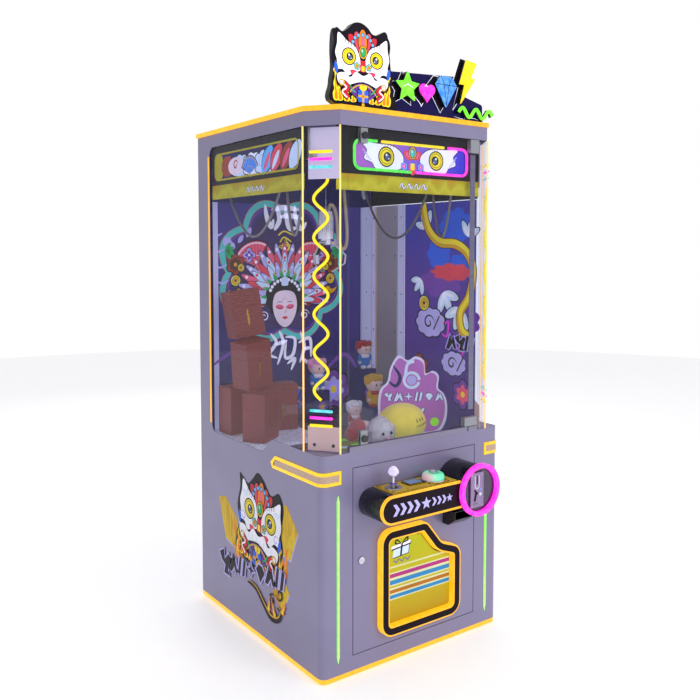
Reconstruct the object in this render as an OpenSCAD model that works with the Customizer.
// Prize crane machine: a free-standing steel cabinet with a glazed play area, an overhead gantry with
// a three-prong claw, a hinged service door that carries the controls, and a lit marquee.
// Millimetres. The front faces -Y and +Z is up. Every module draws in cabinet coordinates, where y = 0
// is the front plane and y grows towards the rear; placed() shifts them so that the origin is the
// centre of the footprint on the floor.

/* [Cabinet] */
// Width of the cabinet
body_w = 830; // [826:1:834]
// Depth of the cabinet from the front plane to the back
body_d = 908; // [900:1:920]
// Height of the ledge between the lower and the upper cabinet
ledge_z = 782; // [780:1:784]
// Height of the roof
roof_z = 1940; // [1936:1:1950]
// Height of the fascia above the windows
fascia_h = 65; // [62:1:70]
// Thickness of the sheet steel
sheet = 2; // [1.5:0.5:2]
// Radius of the lower front corners
corner_r = 28; // [24:1:30]
// Reach of the upper corner chamfer along the front
chamfer_x = 78; // [74:1:80]
// Reach of the upper corner chamfer along the side
chamfer_y = 106; // [100:1:106]
// Half of the distance between the front panel seams
seam_x = 288; // [288:1:290]
// Height of the light band round the foot
skirt_h = 20; // [18:1:22]
// Height of the light band round the roof
band_h = 16; // [14:1:20]
// How far the roof light band stands out
band_out = 6; // [4:1:8]

/* [Side window] */
// Lower edge of the window behind its slope
window_z = 724; // [716:1:730]
// Rear edge of the window, behind the front plane
window_y = 804; // [790:1:810]
// Radius of the window's rear corners
window_r = 32; // [20:1:40]

/* [Service door] */
// Half of the width of the service door
door_half = 285; // [284:1:285]
// Lower edge of the service door
door_z0 = 75; // [75:1:76]
// Upper edge of the service door
door_z1 = 726; // [725:1:726]
// Depth of the door's folded edge
door_fold = 20; // [16:1:20]

/* [Controls] */
// Height of the middle of the control housing
console_z = 599; // [596:1:602]
// Half of the height of the control housing
console_r = 49; // [48:1:50]
// Left end of the control housing
console_x = -262; // [-264:1:-256]
// How far the control housing stands out
console_out = 127; // [120:1:130]
// Centre of the coin drum across the door
drum_x = 180; // [178:1:180]
// Height of the coin drum's centre
drum_z = 604; // [602:1:606]
// Outer radius of the drum's light ring
ring_r = 95; // [92:1:95]
// Radius of the drum's housing
drum_r = 86; // [84:1:88]
// How far the drum stands out
drum_out = 144; // [140:1:146]
// Joystick position across the door
stick_x = -160; // [-164:1:-156]
// Drop button position across the door
button_x = 18; // [14:1:20]
// Radius of the drop button
button_r = 40; // [38:1:42]

/* [Crane] */
// Claw position across the cabinet at home
claw_x = -283; // [-284:1:-282]
// Claw position behind the front plane at home
claw_y = 165; // [164:1:168]
// Height of the claw head's top at home
claw_z = 1600; // [1590:1:1610]
// Radius of the claw head
claw_r = 28; // [26:1:30]
// Height of the gantry rails' upper face
rail_z = 1796; // [1794:1:1798]

/* [Play area] */
// Height of the playfield's upper face
field_z = 700; // [698:1:702]
// Height of the clear fence round the chute
fence_z = 905; // [880:5:920]
// Height of the tallest marquee part
marquee_z = 2220; // [2200:5:2240]

/* [Hidden] */
$fn = 48;

half_w = body_w / 2;
front_y = drum_out - (drum_out + body_d + band_out) / 2;
fascia_z = roof_z - fascia_h;
fit = 0.06;
foot_z = 4;
tray_t = 3;
flange_h = 22;
floor_z = skirt_h + tray_t;
post_z = floor_z + flange_h;
chamfer_l = sqrt(chamfer_x * chamfer_x + chamfer_y * chamfer_y);
chamfer_turn = -atan2(chamfer_y, chamfer_x);

// Upper front: glass door, its pivot line and its locks
column_x = 302;
glass_x0 = -300;
glass_x1 = 295;
glass_y = [4, 12];
glass_z = [802, 1873];
pivot = [286, 8];
pivot_r = 4;
clamp_x = 232;
clamp_h = 33;
lock_x = -240;
lock_r = 8;
lock_top_z = 1847;
lock_low_z = 822;
header_y = 35;
fringe_z = 1667;

// Service door hinge line, lock, and the prize opening's outline seen from the front
hinge = [280, 5];
hinge_r = 2.5;
door_lock_x = -251;
door_lock_z = 400;
door_lock_r = 9;
prize_outline = [[-180, 106], [-180, 488], [26, 488], [100, 396], [194, 362], [194, 106]];
prize_radii = [50, 50, 40, 60, 46, 50];
frame_w = 35;
frame_out = 28;
flap_gap = 4;
flap_hinge = [-4.5, 446];
flap_pin_r = 1.5;
stick_y = -62;
stick_z = 634;
button_y = -66;
plate_z = console_z + console_r;
coin_x = 167;
coin_z = 605;
plate_half = [32, 63];
return_x = 178;
return_z = 590;

// Chute: hole in the playfield and the bin below it
hole_x = [-396, -171];
hole_y = [44, 290];
bin_y = [40, 292];

// Crane
beam_y = [claw_y - 20, claw_y + 20];
beam_z = rail_z + 10;
beam_r = 8;
rail_x = 372;
trolley_half = 40;
winch_y = claw_y - 18;
winch_z = 1775;
prong_r = 27;
prong_z = claw_z - 110;

// ---------------------------------------------------------------- helpers

module placed() translate([0, front_y, 0]) children();

module both_sides() {
  children();
  mirror([1, 0, 0]) children();
}

// Box from its x, y and z ranges
module block(x, y, z) translate([x[0], y[0], z[0]]) cube([x[1] - x[0], y[1] - y[0], z[1] - z[0]]);

// Outline in x and z, extruded over a range of y
module front_plate(y) translate([0, y[1], 0]) rotate([90, 0, 0]) linear_extrude(y[1] - y[0]) children();

// Outline in y and z, extruded over a range of x
module side_plate(x) translate([x[0], 0, 0]) rotate([90, 0, 90]) linear_extrude(x[1] - x[0]) children();

module rod_x(x, y, z, r) translate([x[0], y, z]) rotate([0, 90, 0]) cylinder(h = x[1] - x[0], r = r);
module rod_y(x, y, z, r) translate([x, y[1], z]) rotate([90, 0, 0]) cylinder(h = y[1] - y[0], r = r);
module rod_z(x, y, z, r) translate([x, y, z[0]]) cylinder(h = z[1] - z[0], r = r);

// Outline of the upper cabinet with chamfered front corners, set in by t
function upper_points(t) =
  let (
    left = [
      [-half_w + t, chamfer_y + t * (chamfer_l - chamfer_y) / chamfer_x],
      [-half_w + chamfer_x + t * (chamfer_l - chamfer_x) / chamfer_y, t]
    ]
  )
  [left[0], left[1], [-left[1][0], left[1][1]], [-left[0][0], left[0][1]],
   [half_w - t, body_d - t], [-half_w + t, body_d - t]];

module upper_outline(t) polygon(upper_points(t));

// Outline of the lower cabinet with rounded front corners, set in by t
module lower_outline(t) {
  translate([-half_w + t, corner_r]) square([body_w - 2 * t, body_d - corner_r - t]);
  translate([-half_w + corner_r, t]) square([body_w - 2 * corner_r, corner_r]);
  for (side = [-1, 1]) translate([side * (half_w - corner_r), corner_r]) circle(corner_r - t);
}

function unit(v) = v / norm(v);
function cross2(a, b) = a[0] * b[1] - a[1] * b[0];
function wrap(a) = a > 180 ? a - 360 : a < -180 ? a + 360 : a;

// Arc that rounds corner p, between neighbours before and after, with radius r
function fillet(before, p, after, r, steps = 8) =
  let (
    a = unit(before - p),
    b = unit(after - p),
    half = acos(a * b) / 2,
    centre = p + unit(a + b) * r / sin(half),
    from = p + a * r / tan(half) - centre,
    to = p + b * r / tan(half) - centre,
    start = atan2(from[1], from[0]),
    turn = wrap(atan2(to[1], to[0]) - start)
  )
  [for (i = [0:steps]) centre + r * [cos(start + turn * i / steps), sin(start + turn * i / steps)]];

function rounded(points, radii) =
  let (n = len(points))
  [for (i = [0:n - 1]) each fillet(points[(i + n - 1) % n], points[i], points[(i + 1) % n], radii[i])];

// A clockwise outline's corners, each moved d inwards, and their radii to match
function inset(points, d) =
  let (n = len(points))
  [for (i = [0:n - 1])
    let (
      a = unit(points[(i + n - 1) % n] - points[i]),
      b = unit(points[(i + 1) % n] - points[i]),
      side = cross2(a, b) > 0 ? 1 : -1
    )
    points[i] + unit(a + b) * side * d / sin(acos(a * b) / 2)];

function inset_radii(points, radii, d) =
  let (n = len(points))
  [for (i = [0:n - 1])
    let (side = cross2(points[(i + n - 1) % n] - points[i], points[(i + 1) % n] - points[i]) > 0 ? 1 : -1)
    radii[i] - side * d];

module prize_shape(d) polygon(rounded(inset(prize_outline, d), inset_radii(prize_outline, prize_radii, d)));

// Closed tube of radius r along a path in the x-z plane
module tube(path, r, sides = 8) {
  n = len(path);
  tangent = [for (i = [0:n - 1]) unit(path[min(i + 1, n - 1)] - path[max(i - 1, 0)])];
  points = [
    for (i = [0:n - 1])
      for (k = [0:sides - 1])
        let (a = 360 * k / sides, side = [-tangent[i][1], tangent[i][0]])
        [path[i][0] + r * cos(a) * side[0], r * sin(a), path[i][1] + r * cos(a) * side[1]]
  ];
  walls = [
    for (i = [0:n - 2])
      for (k = [0:sides - 1])
        let (next = (k + 1) % sides)
        [i * sides + k, i * sides + next, (i + 1) * sides + next, (i + 1) * sides + k]
  ];
  first = [for (k = [0:sides - 1]) sides - 1 - k];
  last = [for (k = [0:sides - 1]) (n - 1) * sides + k];
  polyhedron(points = points, faces = concat(walls, [first, last]), convexity = 6);
}

// ---------------------------------------------------------------- cabinet

module base_tray() {
  color("dimgray") placed() {
    translate([0, 0, skirt_h]) linear_extrude(tray_t) lower_outline(sheet);
    translate([0, 0, floor_z]) linear_extrude(flange_h) difference() {
      lower_outline(sheet + 20);
      lower_outline(sheet + 22);
    }
  }
}

module leveling_feet() {
  color("black") placed()
    for (x = [-350, 350], y = [60, 850]) translate([x, y, 0]) {
      cylinder(h = 7, r = 22);
      translate([0, 0, 7]) cylinder(h = 3, r1 = 22, r2 = 12);
      translate([0, 0, 10]) cylinder(h = skirt_h - 10, r = 6);
      translate([0, 0, skirt_h - 6]) cylinder(h = 6, r = 11, $fn = 6);
    }
}

module skirt_led() {
  color("orange") placed() translate([0, 0, foot_z]) linear_extrude(skirt_h - foot_z) difference() {
    lower_outline(0);
    lower_outline(8);
  }
}

// What the side window takes out of the side skin, with everything above the ledge in front of it
module window_outline() {
  top = fascia_z + 1;
  front = [[-1, ledge_z], [315, ledge_z], [396, window_z]];
  rear = rounded(
    [[600, window_z], [window_y, window_z], [window_y, fascia_z - 1], [600, fascia_z - 1]],
    [0.1, window_r, window_r, 0.1]
  );
  polygon(concat(front, [[601, window_z], [601, top], [-1, top]]));
  polygon(rear);
}

module side_panel() {
  side_plate([-half_w, -half_w + sheet]) difference() {
    translate([corner_r, skirt_h]) square([body_d - corner_r, fascia_z - skirt_h]);
    window_outline();
  }
  translate([0, 0, skirt_h]) linear_extrude(ledge_z - skirt_h) intersection() {
    difference() {
      lower_outline(0);
      lower_outline(sheet);
    }
    translate([-half_w, 0]) square([half_w - seam_x, corner_r]);
  }
  block([-seam_x - sheet, -seam_x], [sheet, 24], [post_z, ledge_z - sheet]);
  block([-half_w + sheet, -half_w + 22], [body_d - sheet, body_d], [skirt_h, fascia_z]);
}

module side_panel_left() color("thistle") placed() side_panel();

module side_panel_right() color("thistle") placed() mirror([1, 0, 0]) side_panel();

module front_frame() {
  seam = 2.5;
  color("thistle") placed() {
    block([-seam_x, seam_x], [0, sheet], [skirt_h, door_z0 - seam]);
    block([-seam_x, seam_x], [0, sheet], [door_z1 + seam, ledge_z]);
    both_sides() block([-316, -291], [2.5, 24], [post_z, ledge_z - sheet]);
    block([-seam_x, seam_x], [sheet, 26], [60, 62]);
    block([-seam_x, seam_x], [sheet, 26], [738, 740]);
    rod_z(hinge[0], hinge[1], [62, 86], hinge_r);
    rod_z(hinge[0], hinge[1], [716, 738], hinge_r);
  }
}

module deck_frame() {
  color("thistle") placed() {
    translate([0, 0, ledge_z - sheet]) linear_extrude(sheet) intersection() {
      difference() {
        lower_outline(sheet);
        upper_outline(26);
      }
      translate([-half_w, 0]) square([body_w, chamfer_y + 2]);
    }
    block([-400, 400], [27, 29], [field_z, ledge_z - sheet]);
  }
}

// Four boards that leave the chute's hole between them
module playfield() {
  joint = 0.2;
  z = [field_z - 12, field_z];
  color("burlywood") placed() {
    block([hole_x[1], 408], [30, 900], z);
    block([-408, hole_x[1] - joint], [hole_y[1], 900], z);
    block([-408, hole_x[0]], [hole_y[0], hole_y[1] - joint], z);
    block([-408, hole_x[1] - joint], [30, hole_y[0] - joint], z);
  }
}

module chute_fence() {
  color("lightcyan", 0.4) placed() {
    block([hole_x[0], hole_x[1] + 5], [hole_y[1], hole_y[1] + 5], [field_z, fence_z]);
    block([hole_x[1], hole_x[1] + 5], [hole_y[0], hole_y[1]], [field_z, fence_z]);
  }
}

module prize_chute() {
  top = field_z - 12;
  color("gainsboro") placed() {
    front_plate(bin_y) difference() {
      polygon([[-398, top], [-398, 400], [-190, 100], [196, 100], [196, 494], [-168, 494], [-168, top]]);
      polygon([[-395.5, top + 1], [-395.5, 401], [-188.5, 103], [193, 103], [193, 491], [-171, 491],
               [-171, top + 1]]);
    }
    front_plate([bin_y[1], bin_y[1] + sheet])
      polygon([[-398, top], [-398, 400], [-190, 100], [196, 100], [196, 494], [-168, 494], [-168, top]]);
    front_plate([bin_y[0] - sheet, bin_y[0]])
      polygon([[-398, top], [-398, 400], [-212, 131], [-212, 494], [-168, 494], [-168, top]]);
  }
}

module cash_box() {
  color("slategray") placed() {
    difference() {
      block([215, 385], [60, 300], [floor_z, 260]);
      block([217, 383], [62, 298], [floor_z + sheet, 261]);
    }
  }
}

module control_board() {
  color("darkgreen") placed() {
    block([60, 300], [640, 800], [floor_z, floor_z + 18]);
    block([70, 180], [650, 790], [floor_z + 18, floor_z + 70]);
    block([195, 290], [655, 785], [floor_z + 18, floor_z + 22]);
    for (x = [205, 235, 265]) block([x, x + 18], [670, 770], [floor_z + 22, floor_z + 34]);
  }
}

module back_panel() {
  color("gray") placed() difference() {
    block(
      [-half_w + sheet, half_w - sheet], [body_d - 2 * sheet, body_d - sheet], [floor_z, roof_z - sheet]
    );
    for (i = [0:7]) block([-120, 120], [body_d - 10, body_d], [240 + 22 * i, 248 + 22 * i]);
    block([246, 294], [body_d - 10, body_d], [126, 154]);
  }
}

module power_inlet() {
  color("black") placed() difference() {
    union() {
      block([246, 294], [body_d - 40, body_d - sheet], [126, 154]);
      block([238, 302], [body_d - sheet, body_d + 2], [120, 160]);
    }
    block([252, 280], [body_d - 16, body_d + 3], [131, 149]);
    block([283, 291], [body_d - 4, body_d + 3], [131, 149]);
  }
}

module roof_box() {
  color("thistle") placed() {
    translate([0, 0, fascia_z]) linear_extrude(fascia_h - sheet) difference() {
      upper_outline(0);
      upper_outline(sheet);
    }
    translate([0, 0, roof_z - sheet]) linear_extrude(sheet) upper_outline(0);
  }
}

module roof_led_band() {
  color("orange") placed() translate([0, 0, roof_z - band_h]) linear_extrude(band_h) difference() {
    upper_outline(-band_out);
    upper_outline(0);
  }
}

module header_panels() {
  color("black") placed() {
    block([-330, 330], [header_y, header_y + 3], [fringe_z, roof_z - 20]);
    both_sides() block([-404, -401], [114, 800], [fringe_z, roof_z - 20]);
  }
}

// Sine wave in x and z that hangs down from z1 to z0
function wave(z0, z1, period, height) =
  let (steps = floor(12 * (z1 - z0) / period))
  [for (i = [0:steps]) [height / 2 * cos(30 * i), z1 - (z1 - z0) * i / steps]];

module corner_lights() {
  translate([-half_w + chamfer_x / 2, chamfer_y / 2, 0]) rotate([0, 0, chamfer_turn])
  translate([0, -9, 0]) {
    tube(wave(963, 1699, 128, 44), 5);
    for (z = [876, 902, 926, 1738, 1764, 1788]) rod_x([-40, 40], 0, z, 5);
  }
}

// Three quarters of a rounded rectangle's left half, from the upper edge to the lower edge
function neon_side(x_top, x_low, z0, z1, r) =
  concat([[x_top, z1]], fillet([x_top, z1], [-260, z1], [-260, z0], r, 5),
         fillet([-260, z1], [-260, z0], [x_low, z0], r, 5), [[x_low, z0]]);

module neon_tubes() {
  color("yellow") placed() {
    both_sides() corner_lights();
    translate([0, header_y - 7, 0]) {
      tube(neon_side(-165, -12, 1740, 1837, 26), 5);
      mirror([1, 0, 0]) tube(neon_side(-165, -12, 1740, 1837, 26), 5);
      rod_x([-145, 145], 0, 1837, 5);
    }
  }
}

module corner_columns() {
  color("lightcyan", 0.4) placed() translate([0, 0, ledge_z]) linear_extrude(fascia_z - ledge_z)
    both_sides() intersection() {
      difference() {
        upper_outline(0);
        upper_outline(5);
      }
      translate([-half_w, 0]) square([half_w - column_x, chamfer_y]);
    }
}

module edge_led_strips() {
  out = [-chamfer_y, -chamfer_x] * 3 / chamfer_l;
  strip_z = [ledge_z + 1, fascia_z - 1];
  color("gold") placed() both_sides() {
    rod_z(-half_w + out[0], chamfer_y + out[1], strip_z, 3);
    rod_z(-half_w + chamfer_x + out[0], out[1], strip_z, 3);
    block([-half_w - 2.5, -half_w], [window_y + 2, window_y + 10], [window_z + 36, fascia_z - 36]);
    block([-352, -344], [-2, 0], [62, 643]);
  }
}

module side_glass() {
  color("lightblue", 0.3) placed() both_sides()
    block(
      [-half_w + sheet, -half_w + sheet + 4], [chamfer_y + 3, window_y + 14], [window_z - 12, fascia_z - 1]
    );
}

module poster_panels() {
  color("indigo") placed() {
    block([-406, 406], [880, 883], [field_z, roof_z - 20]);
    block([398, 401], [116, 550], [field_z, fringe_z - 4]);
    block([-404, -401], [window_y + 4, 878], [field_z, roof_z - 20]);
    block([401, 404], [window_y + 4, 878], [field_z, roof_z - 20]);
  }
}

module door_fittings() {
  base_top = ledge_z + 18;
  color("silver") placed() {
    block([glass_x0, 250], [0, 16], [ledge_z, base_top]);
    block([252, 298], [-2, 18], [ledge_z, base_top]);
    rod_z(pivot[0], pivot[1], [base_top, base_top + 14], pivot_r);
    block([262, 298], [sheet, 30], [fascia_z + 1, fascia_z + 6]);
    rod_z(pivot[0], pivot[1], [fascia_z - 12, fascia_z + 1], pivot_r);
  }
}

module corner_lamps() {
  color("orange") placed() both_sides() intersection() {
    translate([0, 0, 680]) linear_extrude(46) difference() {
      lower_outline(-4);
      lower_outline(0);
    }
    side_plate([-half_w - 6, -337]) polygon([[-6, 670], [304, 670], [326, 699], [292, 730], [-6, 730]]);
  }
}

// ---------------------------------------------------------------- marquee

module marquee_board() {
  color("midnightblue") placed() {
    front_plate([30, 46]) polygon(rounded(
      [[-120, roof_z], [-120, 2080], [209, 2100], [214, 2040], [340, 2010], [340, roof_z]],
      [2, 12, 12, 10, 12, 2]));
    for (x = [-90, 60, 200]) block([x, x + 25], [46, 80], [roof_z, roof_z + 3]);
  }
}

module marquee_emblem() {
  color("orangered") placed() {
    front_plate([2, 28]) {
      polygon(rounded([[-362, roof_z + 2], [-374, 2060], [-366, 2176], [-330, 2170], [-274, marquee_z + 8],
                       [-214, 2176], [-132, 2180], [-100, 2080], [-112, roof_z + 2]],
                      [16, 30, 12, 20, 30, 20, 18, 24, 16]));
    }
    block([-340, -140], [28, 60], [roof_z, roof_z + 3]);
  }
}

function star(n, outer, inner) =
  [for (i = [0:2 * n - 1]) let (a = 90 + 180 * i / n, r = i % 2 == 0 ? outer : inner) r * [cos(a), sin(a)]];

// Heart outline about 32 units wide at k = 1
function heart(k) =
  [for (a = [0:10:350])
    k * [16 * pow(sin(a), 3), 13 * cos(a) - 5 * cos(2 * a) - 2 * cos(3 * a) - cos(4 * a)]];

module marquee_shapes() {
  color("lime") placed() {
    front_plate([4, 28]) {
      translate([-46, 2030]) polygon(star(5, 54, 26));
      translate([44, 2024]) polygon(heart(2.2));
      translate([134, 2036]) polygon([[-50, 22], [-26, 52], [26, 52], [50, 22], [0, -56]]);
      translate([240, 2078])
        polygon([[-8, 82], [44, 74], [14, 18], [38, 18], [-34, -78], [-14, -8], [-40, -8]]);
    }
    translate([0, 12, 0]) tube([for (i = [0:36]) [204 + 172 * i / 36, 1972 + 16 * sin(25 * i)]], 6);
  }
}

// ---------------------------------------------------------------- crane

module gantry_rails() {
  color("silver") placed() both_sides() {
    block([-rail_x - 16, -rail_x], [84, 870], [rail_z - 24, rail_z]);
    for (y = [100, 840]) block([-rail_x - 24, -rail_x - 18], [y, y + 20], [rail_z - 24, roof_z - sheet]);
    for (y = [100, 840]) block([-rail_x - 18, -rail_x - 16], [y, y + 20], [rail_z - 24, rail_z]);
  }
}

module festoon_cables() {
  ends = [200, 325, 790];
  loops = [
    for (i = [0:48])
      let (k = min(1, floor(i / 24)), t = i / 24 - k)
      [ends[k] + (ends[k + 1] - ends[k]) * t, 1762 - 245 * pow(max(0, sin(180 * t)), 0.8)]
  ];
  color("gray") placed() for (x = [-350, 350]) {
    translate([x, 0, 0]) rotate([0, 0, 90]) tube(loops, 5);
    block([x - 14, x + 14], [315, 335], [1762, 1770]);
    block([x - 14, x + 14], [782, 802], [1740, 1772]);
  }
}

module bridge() {
  color("gainsboro") placed() {
    for (y = beam_y) rod_x([-rail_x + 8, rail_x - 8], y, beam_z, beam_r);
    both_sides() {
      block([-rail_x + 4, -rail_x + 8], [beam_y[0] - 25, beam_y[1] + 25], [rail_z - 16, rail_z + 34]);
      for (y = [beam_y[0] - 12, beam_y[1] + 12]) {
        rod_x([-rail_x - 14, -rail_x + 2], y, rail_z + 12.3, 12);
        rod_x([-rail_x + 2, -rail_x + 4], y, rail_z + 12.3, 5);
      }
    }
  }
}

module trolley() {
  left = claw_x - trolley_half;
  right = claw_x + trolley_half;
  color("gray") placed() difference() {
    union() {
      for (x = [left, right - 4]) block([x, x + 4], [claw_y - 45, claw_y + 45], [1746, beam_z + 24]);
      block([left, right], [claw_y - 45, claw_y + 45], [1742, 1746]);
      block([left, right], [claw_y - 12, claw_y + 12], [beam_z + 20, beam_z + 24]);
      rod_x([right, right + 38], winch_y, winch_z, 16);
    }
    for (y = beam_y) rod_x([left - 1, right + 1], y, beam_z, beam_r + 1);
    rod_x([left - 1, right + 6], winch_y, winch_z, pivot_r + fit);
    rod_z(claw_x, claw_y, [1740, 1748], 6);
  }
}

module winch_drum() {
  left = claw_x - trolley_half;
  color("silver") placed() {
    rod_x([left, left + 2 * trolley_half], winch_y, winch_z, pivot_r);
    rod_x([claw_x - 22, claw_x + 22], winch_y, winch_z, 16);
    for (x = [claw_x - 24, claw_x + 22]) rod_x([x, x + 2], winch_y, winch_z, 21);
  }
}

module claw_rope() {
  cord = concat(
    [[-212, 1741], [-208, 1700], [-202, 1640], [-196, 1580], [-192, 1530], [-194, 1494], [-203, 1472]],
    [[-216, 1470], [-228, 1486], [-233, 1520], [-236, 1560], [-241, 1596], [-250, 1617], [-262, 1624],
     [-269, 1616], [-270, claw_z + 1]]
  );
  color("wheat") placed() {
    rod_z(claw_x, claw_y, [claw_z + 13, winch_z], 1.4);
    translate([0, claw_y, 0]) tube(cord, 7);
    block([-228, -200], [claw_y - 12, claw_y + 12], [1742, 1746]);
  }
}

module claw_head() {
  color("silver") placed() translate([claw_x, claw_y, 0]) {
    rod_z(0, 0, [claw_z - 96, claw_z], claw_r);
    rod_z(0, 0, [claw_z, claw_z + 12], 5.5);
    rod_z(0, 0, [prong_z - 6, claw_z - 96], 19);
    for (i = [0:2]) rotate([0, 0, 90 + 120 * i]) {
      for (y = [-9, 6]) block([17, 31], [y + 0.3, y + 2.7], [prong_z - 5, prong_z + 5]);
      rod_y(prong_r, [-9, 9], prong_z, 2);
    }
  }
}

module claw_prong(i) {
  color("silver") placed() translate([claw_x, claw_y, 0]) rotate([0, 0, 90 + 120 * i]) difference() {
    union() {
      rod_y(prong_r, [-6, 6], prong_z, 4.5);
      translate([0, 6, 0]) rotate([90, 0, 0]) linear_extrude(12) polygon([
        [prong_r - 2, prong_z - 4], [prong_r + 4, prong_z - 1], [72, prong_z - 42], [68, prong_z - 72],
        [22, prong_z - 102], [19, prong_z - 99], [63, prong_z - 70], [66, prong_z - 43]
      ]);
    }
    rod_y(prong_r, [-7, 7], prong_z, 2 + fit);
  }
}

module claw_prong_1() claw_prong(0);

module claw_prong_2() claw_prong(1);

module claw_prong_3() claw_prong(2);

// ---------------------------------------------------------------- prizes

// Boxes standing on the bed: x, y, height above the bed, lean, roll and turn
module gift_boxes() {
  size = [130, 95, 190];
  color("brown") placed()
    for (box = [[-318, 572, 0, 0, 0, 35], [-322, 748, 0, 0, 0, 4], [-150, 708, 0, 0, 0, -14],
                [-296, 672, 194, 4, -8, 14], [-300, 712, 392, -4, -8, -6]])
      translate([box[0], box[1], field_z + 21 + box[2] + size[1] / 2 * sin(abs(box[3]))])
        rotate([box[3], box[4], box[5]]) translate([-size[0] / 2, -size[1] / 2, 0]) cube(size);
}

module prize_bed() {
  color("white") placed() {
    block([-400, -60], [480, 870], [field_z, field_z + 20]);
    block([-150, 392], [60, 470], [field_z, field_z + 3]);
  }
}

module prize_body(x, y, z, radii) translate([x, y, z]) scale(radii) sphere(1);

module prize_display() {
  low = field_z + 3.5;
  stand = 40;
  color("gold") placed() {
    prize_body(152, 270, low + 78, [104, 88, 78]);
    prize_body(20, 380, low + 42, [62, 46, 42]);
    prize_body(-40, 165, low + 58, [64, 52, 58]);
    translate([150, 425, 0]) rotate([0, 0, -35]) block([0, 290], [0, 6], [low, low + 340]);
    for (toy = [[257, 590, 80], [140, 575, 0], [100, 800, 140], [350, 786, 217]]) {
      rod_z(toy[0], toy[1], [low + toy[2], low + toy[2] + 100], 36);
      prize_body(toy[0], toy[1], low + toy[2] + 138, [44, 42, 42]);
      if (toy[2] > 0)
        block([toy[0] - stand, toy[0] + stand], [toy[1] - stand, toy[1] + stand], [low, low + toy[2] - 0.5]);
    }
  }
}

// ---------------------------------------------------------------- glass door

module glass_door() {
  color("lightblue", 0.3) placed() front_plate(glass_y) difference() {
    polygon([
      [glass_x0, glass_z[0]], [clamp_x, glass_z[0]], [clamp_x, glass_z[0] + clamp_h],
      [glass_x1, glass_z[0] + clamp_h], [glass_x1, glass_z[1] - 49], [clamp_x + 20, glass_z[1] - 49],
      [clamp_x + 20, glass_z[1]], [glass_x0, glass_z[1]]
    ]);
    for (z = [lock_low_z, lock_top_z]) translate([lock_x, z]) circle(lock_r + 1);
  }
}

module glass_hardware() {
  clamp_y = [-2, 18];
  color("dimgray") placed() difference() {
    union() {
      block([clamp_x, glass_x1], clamp_y, [glass_z[0], glass_z[0] + clamp_h]);
      block([clamp_x + 20, glass_x1], clamp_y, [glass_z[1] - 49, glass_z[1]]);
      for (z = [[803, 850], [1822, 1872]]) {
        block([lock_x - 14, lock_x + 14], [-2, glass_y[0]], z);
        block([lock_x - 14, lock_x + 14], [glass_y[1], 16], z);
      }
    }
    for (z = [[glass_z[0] - 1, 818], [fascia_z - 14, glass_z[1] + 1]])
      rod_z(pivot[0], pivot[1], z, pivot_r + fit);
    for (z = [lock_low_z, lock_top_z]) rod_y(lock_x, [-3, 17], z, lock_r + fit);
  }
}

// Cam lock barrel with its cam lying towards +x
module glass_lock(z) {
  rod_y(lock_x, [-2.5, 20], z, lock_r);
  difference() {
    rod_y(lock_x, [-9, -2.5], z, 12);
    block([lock_x - 1, lock_x + 1], [-10, -6], [z - 4, z + 4]);
  }
  block([lock_x - 8, lock_x + 34], [17, 20], [z - 7, z + 7]);
}

module glass_lock_top() color("black") placed() glass_lock(lock_top_z);

module glass_lock_bottom() color("black") placed() glass_lock(lock_low_z);

// ---------------------------------------------------------------- service door

module service_door() {
  color("thistle") placed() difference() {
    block([-door_half, door_half], [0, door_fold], [door_z0, door_z1]);
    block(
      [-door_half + sheet, door_half - sheet], [sheet, door_fold + 1], [door_z0 + sheet, door_z1 - sheet]
    );
    front_plate([-1, sheet + 1]) prize_shape(frame_w - 2);
    rod_y(door_lock_x, [-1, sheet + 1], door_lock_z, door_lock_r + fit);
    block([139, 195], [-1, sheet + 1], [552, 664]);
    rod_z(hinge[0], hinge[1], [door_z0 - 1, door_z0 + sheet + 1], hinge_r + fit);
    rod_z(hinge[0], hinge[1], [door_z1 - sheet - 1, door_z1 + 1], hinge_r + fit);
  }
}

// Stadium outline of the control housing, set in by t
module console_outline(t) difference() {
  union() {
    translate([console_x + console_r, console_z]) circle(console_r - t);
    translate([console_x + console_r, console_z - console_r + t]) square([330, 2 * (console_r - t)]);
  }
  translate([drum_x, drum_z]) circle(drum_r);
}

module panel_housing() {
  color("black") placed() difference() {
    front_plate([-console_out + 9, 0]) difference() {
      console_outline(0);
      console_outline(3);
      translate([drum_x, drum_z - 200]) square([200, 400]);
    }
    block([-195, 84], [-108, -8], [plate_z - 4, plate_z + 1]);
  }
}

module panel_face() {
  color("black") placed() front_plate([-console_out + 1, -console_out + 5]) difference() {
    console_outline(7.5);
    translate([drum_x, drum_z]) circle(ring_r + 0.5);
    translate([drum_x, drum_z - 200]) square([200, 400]);
  }
}

module door_led_rims() {
  color("orange") placed() {
    front_plate([-console_out, -console_out + 9]) difference() {
      console_outline(0);
      console_outline(7.5);
      translate([drum_x, drum_z]) circle(ring_r + 0.5);
      translate([drum_x, drum_z - 200]) square([200, 400]);
    }
    front_plate([-frame_out + 2, 0]) difference() {
      prize_shape(0);
      prize_shape(6);
    }
    front_plate([-frame_out + 2, 0]) difference() {
      prize_shape(frame_w - 6);
      prize_shape(frame_w);
    }
  }
}

module panel_top() {
  color("gold") placed() {
    difference() {
      block([-200, 88], [-113, -3], [plate_z, plate_z + 2]);
      rod_z(stick_x, stick_y, [plate_z - 1, plate_z + 3], 16);
      rod_z(drum_x, -50, [plate_z - 1, plate_z + 3], drum_r + 6);
    }
    block([-89, -31], [-66, -26], [plate_z + 2, plate_z + 4]);
  }
}

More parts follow.
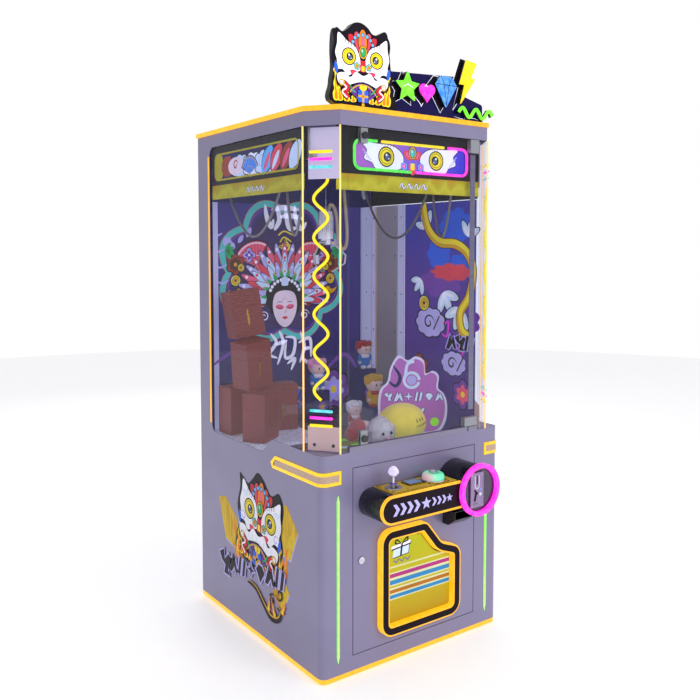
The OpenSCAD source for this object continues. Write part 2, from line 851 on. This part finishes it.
module control_bezels() {
  top = plate_z + 2;
  color("lightgray") placed() {
    difference() {
      rod_z(stick_x, stick_y, [top, top + 5], 30);
      rod_z(stick_x, stick_y, [top - 1, top + 6], 16);
    }
    difference() {
      rod_z(button_x, button_y, [top, top + 8], button_r + 5);
      rod_z(button_x, button_y, [top - 1, top + 9], button_r + 0.8);
    }
  }
}

module drum_housing() {
  color("black") placed() difference() {
    rod_y(drum_x, [-drum_out + 14, 0], drum_z, drum_r);
    rod_y(drum_x, [-drum_out + 17, 1], drum_z, drum_r - 3);
    block([139, 195], [-drum_out, 1], [552, 664]);
  }
}

module drum_ring_led() {
  color("magenta") placed() difference() {
    rod_y(drum_x, [-drum_out, -drum_out + 14], drum_z, ring_r);
    rod_y(drum_x, [-drum_out - 1, -drum_out + 15], drum_z, ring_r - 16);
  }
}

module coin_acceptor() {
  face = -drum_out + 14;
  color("silver") placed() difference() {
    union() {
      block(
        [coin_x - plate_half[0], coin_x + plate_half[0]], [face - 6, face],
        [coin_z - plate_half[1], coin_z + plate_half[1]]
      );
      block([139, 195], [face, 30], [552, 664]);
    }
    block([coin_x - 3, coin_x + 3], [face - 7, face + 40], [624, 656]);
    rod_y(return_x, [face - 7, face + 14], return_z, 6 + fit);
  }
}

module coin_return_button() {
  face = -drum_out + 14;
  color("white") placed() rod_y(return_x, [face - 12, face + 6], return_z, 6);
}

module coin_return_cup() {
  color("black") placed() difference() {
    side_plate([125, 215]) polygon([[0, 455], [-30, 455], [-66, 480], [-66, 512], [0, 512]]);
    side_plate([128, 212]) polygon([[-3, 458], [-29, 458], [-70, 486], [-70, 509], [-3, 509]]);
  }
}

module prize_frame() {
  color("black") placed() {
    front_plate([-frame_out, -4]) difference() {
      prize_shape(6);
      prize_shape(frame_w - 6);
    }
    for (x = [-134, -2]) block([x, x + 4], [-7.5, 2], [flap_hinge[1] - 3, flap_hinge[1] + 6.4]);
    rod_x([-130, -2], flap_hinge[0], flap_hinge[1], flap_pin_r);
  }
}

module prize_flap() {
  color("yellowgreen") placed() difference() {
    union() {
      front_plate([flap_hinge[0] - 1.5, flap_hinge[0] + 1.5]) difference() {
        prize_shape(frame_w + flap_gap);
        translate([-200, flap_hinge[1]]) square([400, 60]);
        for (x = [-136, -4]) translate([x, flap_hinge[1] - 6]) square([8, 20]);
      }
      rod_x([-127, -5], flap_hinge[0], flap_hinge[1], 3);
    }
    rod_x([-136, 4], flap_hinge[0], flap_hinge[1], flap_pin_r + fit);
  }
}

module joystick_gimbal() {
  color("dimgray") placed() difference() {
    rod_z(stick_x, stick_y, [stick_z - 6, stick_z + 6], 20);
    rod_z(stick_x, stick_y, [stick_z - 7, stick_z + 7], 9);
  }
}

module joystick() {
  color("white", 0.6) placed() {
    rod_z(stick_x, stick_y, [stick_z - 20, 700], 5);
    rod_z(stick_x, stick_y, [664, 668], 14);
    translate([stick_x, stick_y, 0]) rotate_extrude() polygon([
      [0, 694], [8, 694], [13, 698], [19, 706], [19, 714], [12, 724], [5, 728], [0, 728]
    ]);
  }
}

module drop_button() {
  low = plate_z + 8;
  color("palegreen", 0.8) placed() translate([button_x, button_y, 0]) rotate_extrude() polygon(concat(
    [[0, low], [button_r, low], [button_r, low + 10]],
    [for (a = [10:16:90]) [button_r * cos(a), low + 10 + 22 * sin(a)]],
    [[0, low + 32]]
  ));
}

module door_lock() {
  color("silver") placed() {
    rod_y(door_lock_x, [-0.5, 28.5], door_lock_z, door_lock_r);
    difference() {
      rod_y(door_lock_x, [-4, -0.5], door_lock_z, 12);
      block([door_lock_x - 1, door_lock_x + 1], [-5, -2], [door_lock_z - 4, door_lock_z + 4]);
    }
    block([door_lock_x - 8, door_lock_x + 8], [25.5, 28.5], [door_lock_z - 56, door_lock_z + 9]);
  }
}

base_tray();
leveling_feet();
skirt_led();
side_panel_left();
side_panel_right();
front_frame();
deck_frame();
playfield();
chute_fence();
prize_chute();
cash_box();
control_board();
back_panel();
power_inlet();
roof_box();
roof_led_band();
header_panels();
neon_tubes();
corner_columns();
edge_led_strips();
side_glass();
poster_panels();
door_fittings();
corner_lamps();
marquee_board();
marquee_emblem();
marquee_shapes();
gantry_rails();
festoon_cables();
gift_boxes();
prize_bed();
prize_display();
glass_door();
glass_hardware();
glass_lock_top();
glass_lock_bottom();
service_door();
panel_housing();
panel_face();
door_led_rims();
panel_top();
control_bezels();
drum_housing();
drum_ring_led();
coin_acceptor();
coin_return_cup();
prize_frame();
joystick_gimbal();
joystick();
drop_button();
coin_return_button();
prize_flap();
door_lock();
bridge();
trolley();
winch_drum();
claw_rope();
claw_head();
claw_prong_1();
claw_prong_2();
claw_prong_3();
